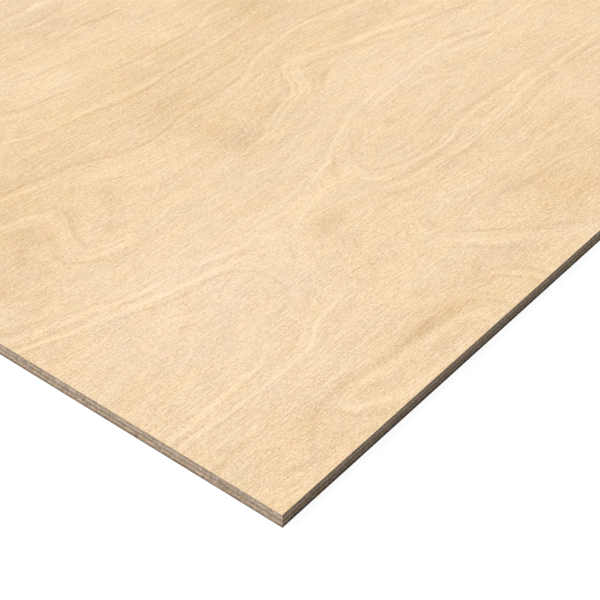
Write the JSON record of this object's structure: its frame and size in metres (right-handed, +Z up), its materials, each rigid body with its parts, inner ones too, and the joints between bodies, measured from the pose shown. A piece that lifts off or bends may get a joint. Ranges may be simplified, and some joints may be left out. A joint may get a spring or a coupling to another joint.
{
  "type": "plywood sheet",
  "caption": "Full sheet of birch plywood lying flat, glued from crossed veneers that show as stripes along its sawn edges.",
  "frame": {"origin": "middle of the underside, on the floor that the sheet lies on", "axes": "+X along the sheet's long side and the grain of its face, +Y across it, +Z up, out of the face"},
  "size_m": [2.44, 1.22, 0.015],
  "materials": {
    "face_veneer": "satin",
    "back_veneer": "satin",
    "crossband_veneer": "matte",
    "longband_veneer": "matte"
  },
  "bodies": {
    "root": {"back_veneer": "back_veneer", "crossband_5": "crossband_veneer", "longband_4": "longband_veneer", "crossband_4": "crossband_veneer", "longband_3": "longband_veneer", "crossband_3": "crossband_veneer", "longband_2": "longband_veneer", "crossband_2": "crossband_veneer", "longband_1": "longband_veneer", "crossband_1": "crossband_veneer", "face_veneer": "face_veneer"}
  },
  "joints": []
}
